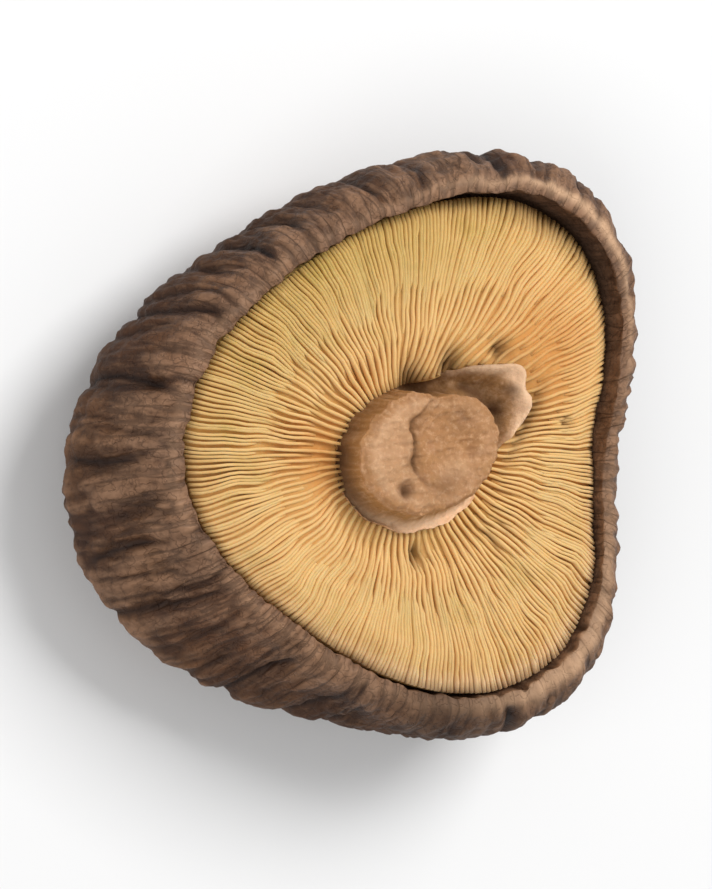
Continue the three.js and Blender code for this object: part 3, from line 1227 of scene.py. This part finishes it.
@dataclass
class Gills:
    """The gold gills: tiers of thin blades on a bed of flesh."""

    outlines: Outlines
    tiers: tuple[Tier, ...] = (Tier(80, 0.0, 14), Tier(80, 0.18, 12), Tier(160, 0.42, 10))
    order: tuple[int, ...] = (0, 2, 1, 2)
    pits: tuple[Pit, ...] = (
        Pit(-0.95, -7.7, 0.5, 0.9, 1.5),
        Pit(11.8, 1.6, 0.4, 0.7, 0.8),
        Pit(5.4, -6.8, 0.22, 0.4, 4.0),
        Pit(6.5, -6.0, 0.2, 0.35, 3.5),
        Pit(-1.0, 4.7, 1.0, 0.85),
        Pit(2.25, 5.8, 0.85, 0.85, 1.3),
        Pit(6.3, 6.9, 0.6, 0.7),
        # painted shadow of the torn collar on the gills
        Pit(8.5, 1.7, 0.4, 0.35, 6.5, 62.0),
    )
    warmth: tuple[Pit, ...] = (Pit(10.5, 7.2, 4.0, 0.0), Pit(-8.5, -1.0, 2.5, 0.0))
    green: Sector = Sector(115, 51.57)
    pale: Sector = Sector(-70, 57.3)
    thickness: float = 0.2
    bed_drop: float = 0.38
    bed_bottom: float = 10.3
    bed_steps: int = 180
    blade_height: float = 0.9
    sway: Ripple = Ripple(0.1, 4.5, 41)
    lean: Ripple = Ripple(0.08, 3.0, 42)
    waviness: tuple[Ripple, Ripple] = (Ripple(0.05, 1.1, 43), Ripple(0.12, 5.0, 44))
    unevenness: float = 0.06
    stem_gap: float = -0.25
    end_drop: float = 0.3
    taper: float = 0.25
    seed: int = 85
    finish: GillFinish = field(default_factory=GillFinish)

    def build(self) -> None:
        """Model the blades and their bed, and dress them."""
        material = self.finish.material()
        for name, body in (("gill_bed", self._bed()), ("gill_blades", self._blades())):
            body.finish(name, material, Slot.GILLS, "gills")

    def _pitted(self, plan: Array) -> tuple[Array, Array]:
        """Give how deep the pits are at points of the gill face, and the painted shade in them.

        Args:
            plan: Rows of x and y from the gills' centre.

        Returns:
            The depth and the painted shade at each row.
        """
        depth, dark = np.zeros(len(plan)), np.zeros(len(plan))
        for pit in self.pits:
            shape = pit.at(plan)
            depth = np.maximum(depth, pit.depth * shape)
            # painted shade in the pits, darker the deeper they are
            dark = np.maximum(dark, shape * min(1.0, 0.35 + pit.depth))
        return depth, dark

    def _tinted(self, plan: Array, dark: Array) -> dict[Mark, Array]:
        """Give the painted shade, and how orange and how olive the gill face is, at points of it.

        Args:
            plan: Rows of x and y from the gills' centre.
            dark: The painted shade at each row.

        Returns:
            The values of three marks.
        """
        out, turn = polar(plan)
        return {
            Mark.HOLLOW: dark,
            Mark.WARM: np.clip(sum(pit.at(plan) for pit in self.warmth), 0, 1),
            Mark.RIM: self.green.at(turn) * smooth(8.0, 15.0, out),
        }

    def _ends(self, angle: float | Array, along: Array) -> tuple[Array, Array]:
        """Give how far the gills fall, and the painted shade on them, towards the rim.

        Args:
            angle: The directions round the mushroom, in radians.
            along: The shares of the way from the stem (0) to the rim (1).

        Returns:
            The fall and the painted shade.
        """
        gape = self.outlines.gape.at(angle)
        fallen = self.end_drop * (1 + gape) * smooth(0.94 - 0.05 * gape, 1.0, along)
        # painted shade on the gills' ends by the rim, deepest where the rim gapes
        return fallen, (0.2 + 0.5 * gape) * smooth(0.93 - 0.13 * gape, 1.0, along)

    def _bed(self) -> Body:
        """Model the ring of flesh that the blades stand on, from a ring 1 wide and 1 high.

        Returns:
            The mesh.
        """
        body = Body()
        across = np.linspace(2.0, 1.0, 30)
        top = np.column_stack([across, np.ones_like(across)])
        section = np.vstack([[(1.0, 0.0), (2.0, 0.0)], top, [(1.0, 0.0)]])
        body.lathe(section, self.bed_steps, 0)
        spots = body.places()
        out, angle = polar(spots)
        along = out - 1.0
        plan = self.outlines.between(angle, along, self.stem_gap)
        depth, dark = self._pitted(plan)
        _, turn = polar(plan)
        fallen, end_shade = self._ends(turn, along)
        crown = self.outlines.crown_height(turn, along) - self.bed_drop - depth - fallen
        height = self.bed_bottom + (crown - self.bed_bottom) * spots[:, 2]
        marks = self._tinted(plan, np.maximum(dark, end_shade))
        body.write(marks | {Mark.EDGE: np.full_like(along, 0.3)})
        body.move(np.column_stack([plan + self.outlines.centre, height]))
        return body

    def _blades(self) -> Body:
        """Model all the blades as bent sheets, then give them their thickness.

        Returns:
            The mesh.
        """
        body = Body()
        draw = np.random.default_rng(self.seed)
        places = sum(tier.count for tier in self.tiers)
        for i in range(places):
            tier = self.tiers[self.order[i % len(self.order)]]
            self._blade(body, tier, (i + draw.uniform(-0.2, 0.2)) / places * TURN, draw)
        bmesh.ops.solidify(body.mesh, geom=body.mesh.faces[:], thickness=self.thickness * MM)
        return body

    def _blade(self, body: Body, tier: Tier, angle: float, draw: np.random.Generator) -> None:
        """Add one blade's sheet, bent from a grid.

        Args:
            body: The mesh that holds the blades.
            tier: The blade's tier.
            angle: Its direction from the gills' centre.
            draw: The source of its small departures from its neighbours.
        """
        start = tier.start * (1 + draw.uniform(-0.25, 0.25))
        lift, nudge, tint = draw.uniform(-1, 1) * self.unevenness, draw.normal(), draw.uniform()
        made = bmesh.ops.create_grid(body.mesh, x_segments=tier.segments, y_segments=1, size=1.0)
        verts = made["verts"]
        share, rise = ((np.array([v.co[i] for v in verts]) + 1) / 2 for i in range(2))
        along = start + share * (1 - start)
        plan = self.outlines.between(np.full_like(along, angle), along, self.stem_gap)
        flat = np.column_stack([plan, np.zeros_like(along)])
        aside = self.sway.at(flat) + rise * self.lean.at(flat)
        aside += 0.02 * (nudge + np.sin(9 * along + 40 * tint))
        plan += np.outer(aside, (-math.sin(angle), math.cos(angle)))
        grown = smooth(0.0, self.taper, share) if tier.start else np.ones_like(share)
        depth, dark = self._pitted(plan)
        crown = self.outlines.crown_height(np.full_like(along, angle), along) + lift
        fallen, end_shade = self._ends(angle, along)
        edge = crown + rippled(self.waviness, flat) - (1 - grown) * self.bed_drop - depth - fallen
        height = edge - self.blade_height * (1 - rise)
        body.move(np.column_stack([plan + self.outlines.centre, height]), verts)
        marks = {
            Mark.EDGE: 0.3 + 0.7 * rise,
            Mark.TINT: np.full_like(along, tint),
            Mark.LIP: 0.6 * self.pale.at(angle) * smooth(0.88, 0.96, along),
        }
        body.write(marks | self._tinted(plan, np.maximum(dark, end_shade)), verts)


@dataclass(frozen=True)
class Zones:
    """Each vertex of the stub: its direction, its shares of each zone, and what is beside it."""

    angle: Array
    share: Array
    foot: Array
    ledge: Array
    wall: Array
    cut: Array
    collar: Array
    footing: Array
    crevice: Array


@dataclass
class Stem:
    """The tan stub: cut off short, dished on top, with a torn collar on one side."""

    outlines: Outlines
    bottom: float = 10.3
    sunken: float = 12.8
    ledge: float = 13.9
    top: float = 16.2
    disc_share: float = 0.93
    rounding: float = 0.3
    cut_share: float = 0.87
    dish: float = 0.45
    dish_centre: tuple[float, float] = (1.2, 0.4)
    dish_shape: tuple[float, float] = (1.0, 0.9)
    dish_radius: float = 2.9
    dish_wander: Ripple = Ripple(0.06, 2.4, 56)
    shelf: Sector = Sector(176, 65.89)
    spread_foot: float = 0.3
    flare: float = 0.05
    flare_more: float = 1.0
    flare_side: Sector = Sector(-75, 63.03)
    collar_rise: float = 0.9
    collar_curl: float = 0.3
    collar_torn: Ripple = Ripple(0.3, 1.8, 50)
    trench: float = 1.7
    bite: float = 0.85
    crevice: float = 1.2
    crevice_side: Sector = Sector(76, 34)
    shadow_side: Sector = Sector(190, 57.3)
    pinch: float = 1.1
    cut_slope: float = 0.07
    fibres: tuple[Ripple, Ripple] = (Ripple(0.1, 2.0, 51), Ripple(0.05, 0.6, 52))
    crumples: tuple[Ripple, Ripple] = (Ripple(0.14, 1.6, 57), Ripple(0.05, 0.6, 58))
    cut_grain: tuple[Ripple, ...] = (
        Ripple(0.08, 1.0, 53),
        Ripple(0.05, 0.5, 54),
        Ripple(0.1, 2.2, 55),
    )
    dimple: Pit = Pit(-2.1, -3.0, 0.55, 0.5)
    stains: tuple[Pit, ...] = (
        Pit(1.2, -2.4, 1.3, 0.38, 0.6),
        Pit(2.4, 2.1, 0.8, 0.28),
        Pit(-1.6, -1.0, 0.7, 0.32),
    )
    bloom: Pit = Pit(2.0, -1.4, 0.9, 0.3, 1.5, 25.0)
    # painted shade in the torn collar's hollows
    flap_shade_spots: tuple[Pit, ...] = (Pit(7.7, 4.3, 0.6, 0.75), Pit(6.8, 2.8, 0.9, 1.0))
    steps: int = 72
    cuts: int = 3
    finish: StemFinish = field(default_factory=StemFinish)

    def profile(self) -> tuple[Array, Array]:
        """Give the stub's plain profile.

        Returns:
            Its rows, as a share of the outline and a height, and the runs to its corners.
        """
        disc, cut, shoulder = self.disc_share, self.cut_share, self.top - self.rounding
        shares = (0.0, 1.0, 1.0, disc, disc, cut, 0.0)
        levels = (self.bottom, self.bottom, self.ledge, self.ledge, shoulder, self.top, self.top)
        corners = np.column_stack([shares, levels])
        rows = [corners[:1]]
        for start, end, count in zip(corners, corners[1:], (2, 14, 18, 16, 6, 36)):
            rows.append(resample(np.array([start, end]), count))
        return np.vstack(rows), run_along(corners)

    def build(self) -> None:
        """Model the stub and dress it."""
        body = Body()
        profile, runs = self.profile()
        body.lathe(profile, self.steps, self.cuts)
        spots, run = body.places(), body.values(Mark.RUN)
        zones = self._zones(spots, run, runs)
        flat = turned(self._radius(zones), zones.angle)
        lift, dark, pale = self._cut_end(flat, zones.share / self.cut_share)
        height = np.where(run > runs[4], spots[:, 2], self._height(zones, flat))
        height += zones.cut * lift + flat[:, 0] * self.cut_slope * smooth(15.2, self.top, height)
        # painted shade and shadow below the cut end, and the pale torn edges
        hollow, torn = self._shaded_and_torn(zones, flat)
        body.write(
            {
                Mark.CUT: smooth(runs[4] - 0.35, runs[4] + 0.05, run),
                Mark.EDGE: np.clip(torn * (1 - zones.cut) + zones.cut * pale, 0, 1),
                Mark.HOLLOW: np.clip(hollow + zones.cut * dark, 0, 1),
            }
        )
        flat[:, :2] += self.outlines.stem_centre + self.outlines.centre
        flat[:, 2] = height
        body.move(flat)
        body.finish("stem_stub", self.finish.material(), Slot.STEM, "stem")

    def _zones(self, spots: Array, run: Array, runs: Array) -> Zones:
        """Tell where each vertex lies.

        Args:
            spots: Its place on the plain turned stub.
            run: Its run along the profile.
            runs: The runs to the profile's corners.

        Returns:
            Its zones.
        """
        share, angle = polar(spots)
        foot, ledge, wall = (
            np.clip((run - start) / (end - start), 0, 1) for start, end in zip(runs[1:4], runs[2:5])
        )
        cut = smooth(runs[4], runs[5], run)
        sides = (self.outlines.collar, self.flare_side, self.crevice_side)
        return Zones(angle, share, foot, ledge, wall, cut, *(side.at(angle) for side in sides))

    def _radius(self, zones: Zones) -> Array:
        """Give the radius of each vertex, over the foot, the ledge and the wall.

        Args:
            zones: Where each vertex lies.

        Returns:
            One radius for each vertex.
        """
        angle, collar = zones.angle, zones.collar
        ring = turned(6.0, angle)
        flare = self.flare + self.flare_more * zones.footing
        oval = self.outlines.stem(angle, 0.0) - self.bite * zones.crevice
        lobe = self.outlines.stem(angle, 1.0) + flare + collar * self.collar_torn.at(ring)
        pinch = self.pinch * collar * bell(zones.foot - 0.82, 0.14)
        outer = np.minimum(zones.share, 1) * lobe - pinch
        inner = zones.share * oval + (self.spread_foot + 0.6 * flare) * (1 - zones.wall) ** 2
        radius = np.where(zones.ledge > 0, lobe + (inner - lobe) * zones.ledge, outer)
        radius = np.where(zones.wall > 0, inner, radius)
        grooved = smooth(0.6, 1.0, zones.foot) * np.minimum(1, zones.share)
        return radius + rippled(self.fibres, ring) * grooved

    def _height(self, zones: Zones, flat: Array) -> Array:
        """Give the height of each vertex, up to where the cut end begins.

        Args:
            zones: Where each vertex lies.
            flat: Each vertex's place from the stub's centre, on one level.

        Returns:
            One height for each vertex.
        """
        collar, wall = zones.collar, zones.wall
        raised = np.clip(np.maximum(2.5 * collar, 1.4 * zones.footing), 0, 1)
        ledge_top = self.sunken + (self.ledge - self.sunken) * raised
        ledge_top += self.collar_rise * collar - self.crevice * zones.crevice
        curl = self.collar_curl * collar * bell(zones.ledge - 0.1, 0.16)
        groove = self.trench * (0.05 + collar) * bell(zones.ledge - 0.68, 0.28)
        height = self.bottom + (ledge_top - self.bottom) * zones.foot
        height += (self.top - self.rounding - ledge_top) * wall + (curl - groove) * (1 - wall)
        return height + rippled(self.crumples, flat) * (zones.foot >= 1) * (1 - wall)

    def _shaded_and_torn(self, zones: Zones, flat: Array) -> tuple[Array, Array]:
        """Give the painted shade on the stub below its cut end, and how pale its torn edges are.

        Args:
            zones: Where each vertex lies.
            flat: Each vertex's place from the stub's centre, on one level.

        Returns:
            The painted shade and the paleness.
        """
        foot, ledge, wall = zones.foot, zones.ledge, zones.wall
        above = foot >= 1
        shadow = 0.95 * self.shadow_side.at(zones.angle) * above * (1 - smooth(0.05, 1.0, wall))
        # painted shade in the collar's trench and in the crevice
        trench = 0.9 * np.clip(1.5 * zones.collar, 0, 1) * bell(ledge - 0.78, 0.25)
        sunk = np.maximum(trench, 0.85 * zones.crevice * above)
        # painted shade in the flap's hollows
        for hollow in self.flap_shade_spots:
            sunk = np.maximum(sunk, hollow.depth * hollow.at(flat) * above)
        lip = np.where(above, 1 - smooth(0.22, 0.45, ledge), smooth(0.88, 1.0, foot))
        spread = zones.footing * smooth(0.85, 1, foot) * (1 - smooth(0.0, 0.5, wall))
        torn = np.maximum(np.clip(1.6 * zones.collar, 0, 1) * lip, spread)
        # painted shade on the foot, low among the gills
        hidden = 0.8 * (1 - smooth(0.7, 0.95, foot))
        return shadow + sunk * (1 - wall) + hidden, torn

    def _cut_end(self, flat: Array, share: Array) -> tuple[Array, Array, Array]:
        """Shape the cut end: a pale ring, a dish with a crack on one side, and a small hole.

        Args:
            flat: Each vertex's place from the stub's centre, on one level.
            share: Its distance from the centre, as a share of the cut end's radius.

        Returns:
            How far it is lifted, how dark it is from painted shade and stains, and how pale it is.
        """
        out, turn = polar((flat[:, :2] - self.dish_centre) * self.dish_shape)
        out = out / self.dish_radius + self.dish_wander.at(flat)
        left = self.shelf.at(turn)
        ring = bell(share - 0.88, 0.08) * (0.4 + 0.6 * left)
        shelf = left * smooth(1.0, 1.15, out) * (1 - smooth(0.8, 1.0, share))
        crack = left * bell(out - 1, 0.045)
        hole = self.dimple.at(flat)
        lift = 0.12 * ring + 0.16 * shelf + rippled(self.cut_grain, flat) - 0.18 * crack
        lift -= self.dish * (1 - smooth(0.35, 1.05, out)) + self.dimple.depth * hole
        # painted shade in the crack, at the foot of the shelf and in the hole; the stains below are
        # the flesh's own
        dark = 0.45 * crack + 0.3 * left * bell(out - 0.95, 0.13) + 0.95 * hole
        dark += sum(dark_patch.depth * dark_patch.at(flat) for dark_patch in self.stains)
        return lift, dark, 0.18 * ring + 0.22 * shelf + self.bloom.depth * self.bloom.at(flat)


@dataclass
class Studio:
    """A pale floor, soft lights, and a camera that looks down on the gills as the photo does."""

    floor_size: float = 3000.0
    floor_grey: float = 0.82
    sky: float = 0.42
    elevation: float = math.radians(60)
    lens: float = 200.0
    sensor: float = 36.0
    fill: float = 0.84
    photo_size: tuple[int, int] = (712, 889)

    def build(self) -> None:
        """Make the floor, the lights and the camera."""
        self._floor()
        self._light("key", (0.20, 0.24, 0.40), 0.28, 2.1)
        self._light("fill", (-0.35, -0.15, 0.30), 0.40, 1.0)
        self._sky()
        self._camera()

    def _floor(self) -> None:
        """Lay a plain floor under the mushroom."""
        shape = bmesh.new()
        bmesh.ops.create_grid(shape, x_segments=1, y_segments=1, size=self.floor_size * MM / 2)
        graph = Graph("plain_floor", roughness=0.9)
        grey = self.floor_grey
        graph.feed(graph.shader, {"Base Color": shade(grey, grey, grey)})
        add_mesh("floor", shape, graph.material)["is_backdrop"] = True

    def _sky(self) -> None:
        """Surround the scene with an even white sky, and keep its colours as they are."""
        world = bpy.data.worlds.new("pale_sky")
        world.use_nodes = True
        background = world.node_tree.nodes["Background"]
        background.inputs["Strength"].default_value = self.sky
        background.inputs["Color"].default_value = shade(1.0, 1.0, 1.0)
        bpy.context.scene.world = world
        bpy.context.scene.view_settings.view_transform = "Standard"

    def _light(self, name: str, place: Triple, size: float, power: float) -> None:
        """Hang one square light that faces the mushroom.

        Args:
            name: Its name.
            place: Where it hangs, in metres.
            size: The length of its sides, in metres.
            power: Its power, in watts.
        """
        data = bpy.data.lights.new(name, "AREA")
        data.size = size
        data.energy = power
        light = add_object(name, data)
        light.location = place
        light.rotation_euler = Vector(place).to_track_quat("Z", "Y").to_euler()

    def _camera(self) -> None:
        """Place the camera on the -X side, turned so that +Y is up in the picture."""
        low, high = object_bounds()
        back = Vector((-math.cos(self.elevation), 0.0, math.sin(self.elevation)))
        up = Vector((0.0, 1.0, 0.0))
        width, height = self.photo_size
        frame_width = self.sensor * width / height
        distance = (high.y - low.y) / self.fill * self.lens / frame_width
        data = bpy.data.cameras.new("camera")
        data.lens = self.lens
        data.sensor_width = self.sensor
        camera = add_object("camera", data)
        turn = Matrix((up.cross(back), up, back)).transposed().to_4x4()
        camera.matrix_world = Matrix.Translation((low + high) / 2 + back * distance) @ turn
        bpy.context.scene.camera = camera


def write_sizes() -> None:
    """Bring the placements in the scene up to date."""
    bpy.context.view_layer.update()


def main() -> None:
    """Build the mushroom's pieces in order, then the studio round them."""
    logging.basicConfig(level=logging.INFO, format="%(message)s")
    outlines = Outlines()
    for part in (Cap(outlines), Gills(outlines), Stem(outlines)):
        part.build()
    Studio().build()
    write_sizes()


if __name__ == "__main__":
    main()
